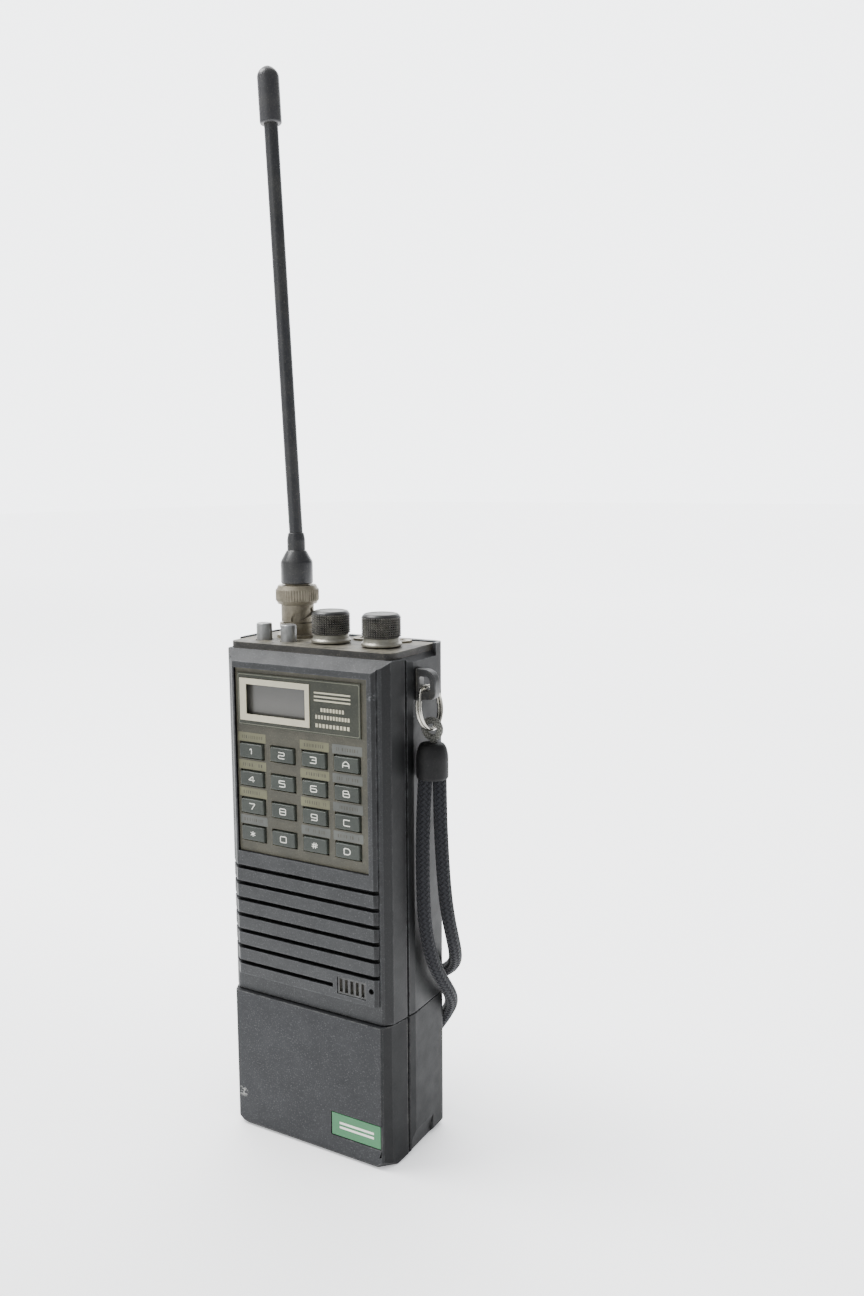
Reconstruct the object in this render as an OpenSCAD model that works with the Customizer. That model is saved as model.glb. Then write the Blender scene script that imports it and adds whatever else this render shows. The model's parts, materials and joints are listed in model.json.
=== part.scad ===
// Handheld two-way radio with a clip-on battery pack, a bayonet whip antenna and a wrist strap.
// Origin: centre of the battery pack's base. X to the right seen from the front, Y into the
// depth (the front face looks along -Y), Z up. Millimetres.

/* [Body] */
// Half width of the body at the side seam
seam_half_w = 32.0; // [31.5:0.1:32.2]
// Half width of the rear case
rear_half_w = 32.6; // [32.4:0.1:33]
// Depth from the centre plane to the front face and to the rear face
half_d = 17.5; // [17.5:0.1:18]
// Height of the battery pack
pack_h = 47.8; // [47.5:0.1:48]
// Height of the rim round the top plate
total_h = 165.5; // [165.3:0.1:166]
// Wall thickness of the cases
wall = 2.2; // [2:0.1:2.4]

/* [Keypad] */
// Width of a key cap
key_w = 9.0; // [8:0.1:9.2]
// Height of a key cap
key_h = 4.6; // [4:0.1:4.8]
// Distance between two columns of keys
key_pitch_x = 12.2; // [12:0.1:12.4]
// Distance between two rows of keys
key_pitch_z = 9.17; // [9:0.01:9.3]
// Gap between a key cap and its hole
key_gap = 0.45; // [0.3:0.05:0.5]

/* [Speaker] */
// Number of sound slots
slot_count = 7; // [5:1:7]
// Distance between two slots
slot_pitch = 5.5; // [5:0.1:5.5]
// Height of a slot
slot_h = 1.4; // [1:0.1:1.8]

/* [Controls] */
// Radius of the knurled knobs
knob_r = 6.1; // [5.5:0.1:6.3]
// Radius of the two top push buttons
button_r = 2.55; // [2.2:0.05:2.6]

/* [Antenna] */
// Radius of the whip
whip_r = 2.25; // [2:0.05:2.4]
// Lean of the whip towards the left, in degrees
whip_lean = 2.8; // [0:0.1:4]
// Length of the whip between its boot and its cap
whip_len = 129; // [110:1:140]

/* [Strap] */
// Radius of the strap cord
cord_r = 2.2; // [2:0.1:2.2]
// Outward tilt of the split ring, in degrees
ring_tilt = 8; // [7:0.5:9]

/* [Hidden] */
$fn = 48;

// Heights of the main planes
body_z = pack_h + 0.4;
case_top_z = 163.1;
plate_top_z = 165.2;
panel_bottom_z = 54.2;
panel_top_z = 159.6;
// Side seam: a groove in both shells, which meet at its middle
seam_y0 = -7.0;
seam_mid_y = -6.4;
seam_y1 = -5.8;
seam_half_inner = 31.0;
// Front planes: the raised panel, and the flat ground beside and below it
ground_y = -16.0;
panel_half_w = 26.3;
cavity_half_w = rear_half_w - wall - 0.2;
cavity_front_y = -14.2;
cavity_rear_y = half_d - wall;
rear_corner_r = 3.5;

// Recess of the keypad and display, and what fills it
recess_x0 = -25.7;
recess_x1 = 24.8;
recess_z0 = 96.7;
recess_z1 = 157.6;
recess_floor_y = -15.6;
plate_front_y = -16.6;
lens_x = [-24.6, 22.4];
lens_z = [139.0, 156.1];
window_x = [-20.9, 2.0];
window_z = [142.8, 152.5];
frame_x = [-23.5, 3.7];
frame_z = [140.7, 154.4];
lcd_x = [window_x[0] - 0.9, window_x[1] + 0.9];
lcd_z = [window_z[0] - 0.8, window_z[1] + 0.8];

// Keys: left edge of the first column, and top edge of the first row
key_x0 = -24.1;
key_z0 = 132.9;
key_front_y = -17.4;
key_flange_y = [-15.5, -14.7];
key_flange_lip = 0.75;

// Speaker slots: centre of the highest one, and where they end
slot_top_z = 91.3;
slot_x0 = -29.6;
slot_x1 = 27.6;
short_slot_x1 = 10.8;
slot_depth_y = -15.3;
speaker_x = -3;
speaker_z = 75;
mic_x = 17.8;
mic_z = 58.7;
mic_w = 10.8;
mic_h = 5.6;

// Height of the pack's release button, on the left side
release_z = 72.5;

// Top controls
volume_at = [1.2, -1.0];
squelch_at = [20.0, -0.8];
light_at = [-22.8, -4.5];
function_at = [-13.0, -4.5];
ear_at = [6.8, 10.6];
mic_jack_at = [20.5, 10.8];
bnc_at = [-17.0, 6.2];
shaft_r = 2.0;
ear_r = 1.8;
mic_jack_r = 1.3;

// Bayonet: pin height and angle, and the helical slot in the collar's sleeve
bnc_pin_z = 174.6;
bnc_pin_angle = 25;
bnc_pin_r = 0.95;
bnc_slot_r = 1.2;
bnc_drop = 3;
bnc_turn = 90;
bnc_slot_steps = 12;

// Antenna heights
collar_z = [176.2, 182.4];
sleeve_z0 = 170.5;
boot_z = 182.9;
whip_z = 199.6;

// Screws that join the two cases: places in X and Z
screw_at = [[-27, 60], [27, 60], [-27, 148], [27, 148]];

// Rails of the battery pack: their places in Y, and their profile
rail_y = [-2.8, 9];
rail_neck_w = 3.0;
rail_head_w = 5.0;
rail_neck_h = 1.6;
rail_head_h = 1.4;
rail_gap = 0.3;
rail_x0 = -27;
rail_x1 = 24;

// Ring, eyelet and boot of the strap
ring_pivot = [35.7, 0, 153.9];
ring_r = 6.7;
ring_wire_r = 0.55;
ring_dir = [sin(ring_tilt), 0, -cos(ring_tilt)];
ring_centre = ring_pivot + ring_r * ring_dir;
ring_bottom = ring_pivot + 2 * ring_r * ring_dir;
boot_at = [38.1, -1.0];
boot_r = 5.0;
boot_bottom_z = 125.4;
boot_top_z = 136.5;
stem_r = 1.4;

// Route of the strap cord: down from the boot, round behind the rear corner and back up
cord_route = [
    [36.2, -2.2, 125.4], [35.9, -2.5, 118], [35.7, -2.8, 110], [35.6, -2.9, 102],
    [35.5, -2.8, 94], [35.5, -2.4, 86], [35.5, -1.6, 78.5], [35.7, 0, 71], [36, 2.6, 64],
    [36.3, 6, 58], [36.5, 10, 52.6], [36, 14.2, 47.6], [34.2, 18, 42.8], [31.2, 20.6, 37.8],
    [27.6, 21.6, 32.4], [23.8, 21.8, 26.8], [18.6, 21.8, 22.8], [12.2, 21.8, 22.6],
    [7, 21.8, 26.4], [4.8, 21.8, 32.4], [6.4, 21.8, 38.8], [11.2, 21.8, 43.4],
    [17.4, 21.8, 46.4], [23.6, 21.8, 48.8], [29.2, 21.2, 51.6], [33.6, 19.2, 55.2],
    [36.8, 16, 59.4], [38.8, 12.2, 64.4], [39.7, 8.8, 70.4], [40, 6, 77], [40, 4, 84.5],
    [40, 2.6, 92.5], [40, 1.6, 101], [39.9, 1, 109.5], [39.9, 0.6, 118], [39.9, 0.4, 125.4]];

// Colours
charcoal = [0.24, 0.25, 0.26];
dark_plastic = [0.15, 0.15, 0.16];
dusty_beige = [0.55, 0.53, 0.46];
nickel = [0.66, 0.62, 0.56];
olive = [0.31, 0.33, 0.24];
board_green = [0.10, 0.30, 0.18];

// A cylinder along Y between two depths
module along_y(x, z, r, y0, y1) {
    translate([x, y0, z])
        rotate([-90, 0, 0])
            cylinder(r = r, h = y1 - y0);
}

// A box between two corners
module span_box(a, b) {
    translate(a)
        cube(b - a);
}

// Plan of the front half of the body, up to the seam
module body_front_plan() {
    polygon([[-seam_half_w, seam_y0], [-30.9, -13.4], [-28.9, -15.5], [-28.0, ground_y],
        [28.0, ground_y], [28.9, -15.5], [30.9, -13.4], [seam_half_w, seam_y0],
        [seam_half_inner, seam_y0], [seam_half_inner, seam_mid_y],
        [-seam_half_inner, seam_mid_y], [-seam_half_inner, seam_y0]]);
}

// Plan of the rear half of the body and of the pack, from the seam to the rear face
module rear_plan() {
    polygon([[-seam_half_w, seam_y1], [-seam_half_inner, seam_y1],
        [-seam_half_inner, seam_mid_y], [seam_half_inner, seam_mid_y],
        [seam_half_inner, seam_y1], [seam_half_w, seam_y1], [rear_half_w, -3],
        [rear_half_w, half_d - rear_corner_r], [rear_half_w - rear_corner_r, half_d],
        [rear_corner_r - rear_half_w, half_d], [-rear_half_w, half_d - rear_corner_r],
        [-rear_half_w, -3]]);
    for (side = [-1, 1])
        translate([side * (rear_half_w - rear_corner_r), half_d - rear_corner_r])
            circle(r = rear_corner_r);
}

// Plan of the inside of either shell
module cavity_plan() {
    polygon([[-27.6, cavity_front_y], [27.6, cavity_front_y], [29.4, -12.4], [cavity_half_w, -7],
        [cavity_half_w, 13], [28, cavity_rear_y], [-28, cavity_rear_y], [-cavity_half_w, 13],
        [-cavity_half_w, -7], [-29.4, -12.4]]);
}

// Raised front panel with small side facets
module front_panel() {
    translate([0, 0, panel_bottom_z])
        linear_extrude(case_top_z - panel_bottom_z)
            polygon([[-27.5, ground_y + 0.5], [-27.5, -16.6], [-panel_half_w, -half_d],
                [panel_half_w, -half_d], [27.5, -16.6], [27.5, ground_y + 0.5]]);
}

// Place the children at a key of the grid, column and row counted from the top left
module at_key(column, row) {
    translate([key_x0 + column * key_pitch_x, 0, key_z0 - key_h - row * key_pitch_z])
        children();
}

// All the sound slots, cut into the front wall
module sound_slots() {
    for (i = [0 : slot_count - 1]) {
        slot_end = i == slot_count - 1 ? short_slot_x1 : slot_x1;
        slot_z = slot_top_z - i * slot_pitch;
        span_box([slot_x0, -half_d - 1, slot_z - slot_h / 2],
            [slot_end, slot_depth_y, slot_z + slot_h / 2]);
        // Notch round the left corner
        if (i < slot_count - 1)
            translate([0, 0, slot_z - slot_h / 2])
                linear_extrude(slot_h)
                    polygon([[-29, -20], [-29, slot_depth_y], [-30.4, -13.3], [-31.2, -11],
                        [-34, -11], [-34, -20]]);
        // Through windows in front of the speaker
        reach = sqrt(max(9, 17 * 17 - pow(slot_z - speaker_z, 2)));
        span_box([speaker_x - reach, slot_depth_y - 0.5, slot_z - slot_h / 2],
            [speaker_x + reach, cavity_front_y + 0.5, slot_z + slot_h / 2]);
    }
}

module front_case() {
    color(charcoal)
        difference() {
            union() {
                translate([0, 0, body_z])
                    linear_extrude(case_top_z - body_z)
                        body_front_plan();
                front_panel();
            }
            // Sloping top edge
            translate([0, -half_d, panel_top_z])
                rotate([atan2(case_top_z - panel_top_z, 4.5), 0, 0])
                    translate([-40, -6, 0])
                        cube([80, 20, 10]);
            // Inside, less the screw posts and the ledge under the top plate
            difference() {
                translate([0, 0, body_z - 1])
                    linear_extrude(case_top_z + 2 - body_z)
                        cavity_plan();
                for (at = screw_at)
                    span_box([at[0] - 3, -30, at[1] - 3], [at[0] + 3, 0, at[1] + 3]);
                span_box([-40, -30, 158.8], [40, -11.4, 170]);
            }
            for (at = screw_at)
                along_y(at[0], at[1], 1.3, -12.5, 0);
            // Recess of the keypad and display
            span_box([recess_x0, -half_d - 1, recess_z0], [recess_x1, recess_floor_y, recess_z1]);
            span_box([-25.3, -17, 99.4], [23.2, -13, 134.2]);
            span_box([lcd_x[0] - 0.3, -17, lcd_z[0] - 0.3], [lcd_x[1] + 0.3, -13, lcd_z[1] + 0.3]);
            sound_slots();
            // Microphone grille and the small hole beside it
            span_box([mic_x - mic_w / 2, -half_d - 1, mic_z - mic_h / 2],
                [mic_x + mic_w / 2, -15.4, mic_z + mic_h / 2]);
            along_y(mic_x, mic_z, 2, -17, -13);
            along_y(25.2, mic_z + 0.6, 0.9, -half_d - 1, -16);
        }
}

module rear_case() {
    color(charcoal)
        difference() {
            union() {
                translate([0, 0, body_z])
                    linear_extrude(case_top_z - body_z)
                        rear_plan();
                // Rim behind and on the left of the top plate, and the block at the right corner
                intersection() {
                    translate([0, 0, case_top_z - 1])
                        linear_extrude(total_h - case_top_z + 1)
                            rear_plan();
                    union() {
                        span_box([-40, 15, 160], [40, 20, 170]);
                        span_box([-40, -10, 160], [-31.3, 20, 170]);
                        span_box([31.3, 11.6, 160], [40, 20, 170]);
                    }
                }
            }
            difference() {
                translate([0, 0, body_z - 1])
                    linear_extrude(case_top_z + 2 - body_z)
                        cavity_plan();
                for (at = screw_at)
                    span_box([at[0] - 3, -20, at[1] - 3], [at[0] + 3, 30, at[1] + 3]);
            }
            // Screw holes with sunk heads
            for (at = screw_at) {
                along_y(at[0], at[1], 1.3, -20, 30);
                along_y(at[0], at[1], 2.7, 15.6, 30);
            }
            // Sloping edge along the right side of the top
            translate([rear_half_w, -12, case_top_z - 1.6])
                rotate([0, -45, 0])
                    cube([4, 23.6, 4]);
            // Mouths of the rail channels in the left wall
            for (y = rail_y)
                rail_profile(y, -40, -28, rail_gap);
            // Opening of the talk button and of the release button
            span_box([-40, -0.4, 99.8], [-28, 8.4, 126.2]);
            span_box([-40, -0.9, release_z - 3.2], [-28, 6.9, release_z + 3.2]);
            // Shallow blank plate recess on the back
            span_box([-20, half_d - 0.5, 88], [20, half_d + 1, 132]);
        }
}

// Plate with the holes of all the top controls
module top_plate() {
    color(dusty_beige)
        translate([0, 0, case_top_z])
            linear_extrude(plate_top_z - case_top_z)
                difference() {
                    union() {
                        polygon([[-30.8, -10], [-27.8, -13], [26.9, -13], [30.9, -9],
                            [30.9, 14.3], [-30.8, 14.3]]);
                        translate([-27.8, -10])
                            circle(r = 3);
                        translate([26.9, -9])
                            circle(r = 4);
                    }
                    translate(volume_at)
                        circle(r = 3.4);
                    translate(squelch_at)
                        circle(r = 3.4);
                    translate(light_at)
                        circle(r = button_r + 0.3);
                    translate(function_at)
                        circle(r = button_r + 0.3);
                    translate(ear_at)
                        circle(r = 3.2);
                    translate(mic_jack_at)
                        circle(r = 2.7);
                    translate(bnc_at)
                        circle(r = 5.1);
                }
}

module keypad_plate() {
    color([0.36, 0.34, 0.29])
        difference() {
            span_box([recess_x0 + 0.1, plate_front_y, recess_z0 + 0.1],
                [recess_x1 - 0.1, recess_floor_y - 0.1, recess_z1 - 0.1]);
            for (column = [0 : 3])
                for (row = [0 : 3])
                    at_key(column, row)
                        translate([-key_gap, -30, -key_gap])
                            cube([key_w + 2 * key_gap, 60, key_h + 2 * key_gap]);
            span_box([lcd_x[0] - 0.1, -30, lcd_z[0] - 0.1], [lcd_x[1] + 0.1, 0, lcd_z[1] + 0.1]);
        }
}

module display_lens() {
    color(olive)
        difference() {
            span_box([lens_x[0], plate_front_y - 0.5, lens_z[0]],
                [lens_x[1], plate_front_y, lens_z[1]]);
            span_box([window_x[0], -30, window_z[0]], [window_x[1], 0, window_z[1]]);
        }
}

module display_bezel() {
    color([0.78, 0.76, 0.69])
        difference() {
            span_box([frame_x[0], plate_front_y - 0.8, frame_z[0]],
                [frame_x[1], plate_front_y - 0.5, frame_z[1]]);
            span_box([window_x[0], -30, window_z[0]], [window_x[1], 0, window_z[1]]);
        }
}

module lcd_module() {
    color([0.49, 0.48, 0.45])
        span_box([lcd_x[0], -15.5, lcd_z[0]], [lcd_x[1], -12.8, lcd_z[1]]);
}

module keypad_mat() {
    color([0.12, 0.12, 0.12])
        union() {
            span_box([-25, -13.5, 99.2], [23.2, -12.8, 134.4]);
            for (column = [0 : 3])
                for (row = [0 : 3])
                    at_key(column, row)
                        along_y(key_w / 2, key_h / 2, 2, -13.9, -13.4);
        }
}

module main_board() {
    color(board_green)
        union() {
            span_box([-23.5, -12.6, 97], [23.5, -11, 152]);
            span_box([-14, -11, 110], [-2, -9, 124]);
            span_box([4, -11, 104], [14, -8.6, 112]);
            span_box([6, -11, 120], [12, -7.4, 134]);
        }
}

module rf_board() {
    color(board_green)
        union() {
            span_box([-23.5, 6.6, 56], [23.5, 8.2, 150.5]);
            span_box([-20, 3.2, 100], [10, 6.6, 140]);
            span_box([-16, 8.2, 64], [14, 11.4, 92]);
        }
}

module speaker() {
    color([0.25, 0.25, 0.25])
        union() {
            along_y(speaker_x, speaker_z, 18, -14.1, -11.6);
            along_y(speaker_x, speaker_z, 12, -11.6, -8);
            along_y(speaker_x, speaker_z, 8, -8, -3.4);
        }
}

module microphone() {
    color([0.6, 0.6, 0.6])
        along_y(mic_x, mic_z, 4.7, -14.1, -9);
}

// Frame with four upright bars
module mic_grille() {
    color([0.42, 0.42, 0.4])
        difference() {
            span_box([mic_x - mic_w / 2 + 0.1, -17.2, mic_z - mic_h / 2 + 0.1],
                [mic_x + mic_w / 2 - 0.1, -15.5, mic_z + mic_h / 2 - 0.1]);
            for (i = [0 : 4])
                span_box([mic_x - 4.65 + i * 2.04, -30, mic_z - 2.2],
                    [mic_x - 4.65 + i * 2.04 + 1.14, -15.9, mic_z + 2.2]);
        }
}

// Bodies and shafts of the two potentiometers
module control_pots() {
    color([0.7, 0.7, 0.68])
        for (at = [volume_at, squelch_at])
            translate([at[0], at[1], 0]) {
                translate([-5.2, -5.2, 153.6])
                    cube([10.4, 10.4, 8.4]);
                translate([0, 0, 162])
                    cylinder(r = 3.2, h = 3);
                translate([0, 0, 165])
                    cylinder(r = shaft_r, h = 8);
            }
}

module button_switches() {
    color([0.2, 0.2, 0.2])
        for (at = [light_at, function_at])
            translate([at[0] - 3, at[1] - 3, 154.6])
                cube([6, 6, 3.2]);
}

// Round a flanged barrel: radius and two heights
module tube(r_in, r_out, z0, z1) {
    translate([0, 0, z0])
        difference() {
            cylinder(r = r_out, h = z1 - z0);
            translate([0, 0, -1])
                cylinder(r = r_in, h = z1 - z0 + 2);
        }
}

module bnc_jack() {
    color(nickel)
        translate([bnc_at[0], bnc_at[1], 0]) {
            difference() {
                union() {
                    translate([0, 0, 154])
                        cylinder(r = 5.0, h = 14.3);
                    translate([0, 0, 160])
                        cylinder(r = 7.0, h = 2.9, $fn = 6);
                    translate([0, 0, plate_top_z])
                        cylinder(r = 7.0, h = 0.9);
                    translate([0, 0, 168.3])
                        cylinder(r = 6.0, h = 1.7);
                    translate([0, 0, 170])
                        cylinder(r = 4.6, h = 9.5);
                    for (half = [0, 180])
                        rotate([0, 0, bnc_pin_angle + half])
                            translate([4, 0, bnc_pin_z])
                                rotate([0, 90, 0])
                                    cylinder(r = bnc_pin_r, h = 1.3);
                }
                translate([0, 0, 170.5])
                    cylinder(r = 4.0, h = 12);
            }
            // Inner insulator with the socket of the centre contact
            difference() {
                translate([0, 0, 170.5])
                    cylinder(r = 2.3, h = 8.4);
                translate([0, 0, 172])
                    cylinder(r = 0.75, h = 10);
            }
        }
}

// One jack barrel with its nut, blind at the bottom
module jack(at, bore_r, neck_r, nut_r, deep) {
    translate([at[0], at[1], 0])
        difference() {
            union() {
                translate([0, 0, plate_top_z - deep - 1.5])
                    cylinder(r = nut_r, h = deep + 1.5 - 2.3);
                translate([0, 0, plate_top_z - 2.4])
                    cylinder(r = neck_r, h = 2.8);
                translate([0, 0, plate_top_z])
                    cylinder(r = nut_r, h = 0.6);
            }
            translate([0, 0, plate_top_z + 0.6 - deep])
                cylinder(r = bore_r, h = deep + 1);
        }
}

module ear_jack() {
    color(nickel)
        jack(ear_at, ear_r, 3.1, 4.0, 12);
}

module mic_jack() {
    color(nickel)
        jack(mic_jack_at, mic_jack_r, 2.6, 3.3, 10);
}

// Profile of a T rail and of its channel, along X at depth y
module rail_profile(y, x0, x1, gap) {
    span_box([x0, y - rail_neck_w / 2 - gap, pack_h - 0.2],
        [x1, y + rail_neck_w / 2 + gap, pack_h + rail_neck_h + 0.2]);
    span_box([x0, y - rail_head_w / 2 - gap, pack_h + rail_neck_h - gap],
        [x1, y + rail_head_w / 2 + gap, pack_h + rail_neck_h + rail_head_h + gap]);
}

module rail_plate() {
    color(dark_plastic)
        difference() {
            span_box([-29.2, -11.8, body_z], [29.2, 13.6, 53.2]);
            for (y = rail_y)
                rail_profile(y, -40, rail_x1 + 0.5, rail_gap);
            // Well of the contact springs
            span_box([-8, 1, 40], [8, 5, 60]);
        }
}

module power_contacts() {
    color([0.8, 0.65, 0.35])
        for (x = [-5.4, -0.9, 3.6])
            span_box([x, 1.6, body_z + 0.1], [x + 1.8, 4.4, 55]);
}

module case_screws() {
    color([0.35, 0.35, 0.36])
        for (at = screw_at)
            difference() {
                union() {
                    along_y(at[0], at[1], 1.2, -12, 15.7);
                    along_y(at[0], at[1], 2.5, 15.7, 17.2);
                }
                translate([at[0] - 1.9, 16.6, at[1] - 0.3])
                    cube([3.8, 2, 0.6]);
                translate([at[0] - 0.3, 16.6, at[1] - 1.9])
                    cube([0.6, 2, 3.8]);
            }
}

// Loop on the right side that carries the split ring
module strap_lug() {
    color(dark_plastic)
        translate([0, 1.5, 0])
            rotate([90, 0, 0])
                linear_extrude(3)
                    difference() {
                        polygon([[rear_half_w, 159.4], [36.4, 159.2], [37.9, 158.5],
                            [39.1, 157.2], [39.6, 155.4], [39.6, 151.9], [39.2, 150.6],
                            [38.2, 149.9], [rear_half_w, 149.3]]);
                        polygon([[34.2, 152.6], [37.2, 152.6], [37.5, 152.9], [37.5, 155.9],
                            [37.1, 156.6], [36.4, 156.9], [34.2, 156.9], [33.9, 156.6],
                            [33.9, 152.9]]);
                    }
}

// A key cap with its retaining flange
module key(column, row) {
    color([0.29, 0.32, 0.30])
        at_key(column, row) {
            span_box([0, key_front_y, 0], [key_w, key_flange_y[0], key_h]);
            span_box([-key_flange_lip, key_flange_y[0], -key_flange_lip],
                [key_w + key_flange_lip, key_flange_y[1], key_h + key_flange_lip]);
        }
}

module knob(at) {
    color(dark_plastic)
        translate([at[0], at[1], 0])
            rotate_extrude()
                polygon([[shaft_r + 0.05, 168.2], [knob_r, 168.2], [knob_r, 174.6],
                    [4.7, 175.7], [0, 175.7], [0, 173.2], [shaft_r + 0.05, 173.2]]);
}

module skirt(at) {
    color([0.72, 0.71, 0.68])
        translate([at[0], at[1], 0])
            rotate_extrude()
                polygon([[shaft_r + 0.05, 165.6], [knob_r + 0.3, 165.6], [knob_r + 0.3, 166.6],
                    [knob_r - 0.3, 167.4], [knob_r - 0.3, 168.2], [shaft_r + 0.05, 168.2]]);
}

module top_button(at) {
    color([0.6, 0.6, 0.6])
        translate([at[0], at[1], 0])
            rotate_extrude()
                polygon([[0, 159.2], [button_r + 0.9, 159.2], [button_r + 0.9, 160.6],
                    [button_r, 160.6], [button_r, 170.3], [button_r - 0.4, 170.7], [0, 170.7]]);
}

module ptt_button() {
    color(dark_plastic)
        union() {
            span_box([-34.2, 0, 100.2], [-30.0, 8, 125.8]);
            span_box([-30.0, -0.8, 99.4], [-28.8, 8.8, 126.6]);
        }
}

module pack_release() {
    color(dark_plastic)
        union() {
            span_box([-33.2, -0.5, release_z - 2.8], [-30.0, 6.5, release_z + 2.8]);
            span_box([-30.0, -1.2, release_z - 3.5], [-28.8, 7.2, release_z + 3.5]);
        }
}

// Place the children on the leaning axis of the whip
module on_whip() {
    translate([bnc_at[0], bnc_at[1], whip_z])
        rotate([0, -whip_lean, 0])
            children();
}

module antenna_whip() {
    color(dark_plastic)
        on_whip()
            translate([0, 0, -3])
                cylinder(r = whip_r, h = whip_len + 7);
}

module antenna_cap() {
    color([0.22, 0.22, 0.24])
        on_whip()
            translate([0, 0, whip_len])
                difference() {
                    rotate_extrude()
                        polygon([[0, 0], [3.2, 0], [3.5, 0.4], [3.5, 14.6], [3.0, 15.8],
                            [1.9, 16.9], [0.8, 17.5], [0, 17.5]]);
                    translate([0, 0, -1])
                        cylinder(r = whip_r, h = 5);
                }
}

module antenna_boot() {
    color(dark_plastic)
        difference() {
            translate([bnc_at[0], bnc_at[1], 0])
                rotate_extrude()
                    polygon([[0, boot_z], [5.3, boot_z], [5.3, 190.2], [3.3, 193.8], [3.0, 193.9],
                        [3.0, 197.4], [2.6, whip_z], [0, whip_z]]);
            on_whip()
                translate([0, 0, -3])
                    cylinder(r = whip_r, h = 10);
        }
}

module antenna_plug() {
    color([0.75, 0.7, 0.6])
        translate([bnc_at[0], bnc_at[1], 0]) {
            tube(2.6, 3.7, 172.5, 179.8);
            translate([0, 0, 179.8])
                cylinder(r = 4.5, h = 1.2);
            translate([0, 0, 181])
                cylinder(r = 3.9, h = boot_z - 181);
            translate([0, 0, 173.2])
                cylinder(r = 0.65, h = 6.7);
        }
}

// Knurled bayonet collar with two helical slots
module bnc_collar() {
    color(nickel)
        translate([bnc_at[0], bnc_at[1], 0])
            difference() {
                rotate_extrude()
                    polygon([[4.8, sleeve_z0], [5.4, sleeve_z0], [5.4, collar_z[0] - 0.2],
                        [6.4, collar_z[0] + 0.1], [7.0, collar_z[0] + 1.2],
                        [7.0, collar_z[1] - 1.4], [6.3, collar_z[1]], [4.1, collar_z[1]],
                        [4.1, 181.2], [4.8, 181.2]]);
                for (half = [0, 180])
                    for (i = [0 : bnc_slot_steps])
                        rotate([0, 0, bnc_pin_angle + half - bnc_turn * i / bnc_slot_steps])
                            translate([3, 0, bnc_pin_z - bnc_drop * i / bnc_slot_steps])
                                rotate([0, 90, 0])
                                    cylinder(r = bnc_slot_r, h = 2.9, $fn = 24);
                // Mouths of the slots at the end of the sleeve
                for (half = [0, 180])
                    rotate([0, 0, bnc_pin_angle + half - bnc_turn])
                        span_box([3, -bnc_slot_r, 168], [5.9, bnc_slot_r, bnc_pin_z - bnc_drop]);
            }
}

// Two turns of round wire side by side, leaning out from the lug
module split_ring() {
    color([0.75, 0.74, 0.7])
        translate(ring_centre)
            rotate([0, 90 - ring_tilt, 0])
                rotate_extrude()
                    union() {
                        translate([ring_r, 0.5])
                            circle(r = ring_wire_r, $fn = 24);
                        translate([ring_r, -0.5])
                            circle(r = ring_wire_r, $fn = 24);
                    }
}

// Small loop of cord round the ring, with its tail in the boot
module strap_eyelet() {
    color([0.5, 0.5, 0.48])
        union() {
            translate(ring_bottom)
                rotate([90, 0, 0])
                    rotate_extrude()
                        translate([2.7, 0])
                            circle(r = 1.1, $fn = 24);
            translate([ring_bottom[0], 0, boot_top_z - 1.5])
                cylinder(r = stem_r, h = 3.6);
        }
}

module strap_boot() {
    color([0.33, 0.33, 0.32])
        difference() {
            translate([boot_at[0], boot_at[1], 0])
                rotate_extrude()
                    polygon([[0, boot_bottom_z], [boot_r - 0.2, boot_bottom_z],
                        [boot_r, boot_bottom_z + 0.6], [boot_r, 132.5], [boot_r - 0.5, 135],
                        [boot_r - 1.4, boot_top_z], [0, boot_top_z]]);
            translate([ring_bottom[0], 0, boot_top_z - 1.5])
                cylinder(r = stem_r, h = 3);
        }
}

// Tube swept along a route, its rings square to the route and turned about a fixed side direction
function unit(v) = v / norm(v);
function route_dir(p, i) = unit(p[min(i + 1, len(p) - 1)] - p[max(i - 1, 0)]);
function end_dir(p, i) = i == 0 || i == len(p) - 1 ? [0, 0, i == 0 ? -1 : 1] : route_dir(p, i);
function tube_ring(p, i, r, side, n) =
    let (t = end_dir(p, i), u = unit(cross(t, side)), v = cross(t, u))
    [for (k = [0 : n - 1]) p[i] + r * (cos(360 * k / n) * u + sin(360 * k / n) * v)];
module swept_tube(p, r, side, n) {
    rings = [for (i = [0 : len(p) - 1]) each tube_ring(p, i, r, side, n)];
    last = (len(p) - 1) * n;
    walls = [for (i = [0 : len(p) - 2]) for (k = [0 : n - 1])
        [i * n + k, (i + 1) * n + k, (i + 1) * n + (k + 1) % n, i * n + (k + 1) % n]];
    caps = [[for (k = [0 : n - 1]) k], [for (k = [n - 1 : -1 : 0]) last + k]];
    polyhedron(points = rings, faces = concat(walls, caps), convexity = 6);
}

module strap_cord() {
    color([0.33, 0.34, 0.36])
        swept_tube(cord_route, cord_r, unit([0.6, 0.8, 0]), 8);
}

// Plan of the front half of the battery pack
module pack_front_plan() {
    polygon([[-seam_half_w, seam_y0], [-30.4, -14.1], [-28.9, -17.0], [-28.3, -half_d],
        [28.3, -half_d], [28.9, -17.0], [30.4, -14.1], [seam_half_w, seam_y0],
        [seam_half_inner, seam_y0], [seam_half_inner, seam_mid_y],
        [-seam_half_inner, seam_mid_y], [-seam_half_inner, seam_y0]]);
}

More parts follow.
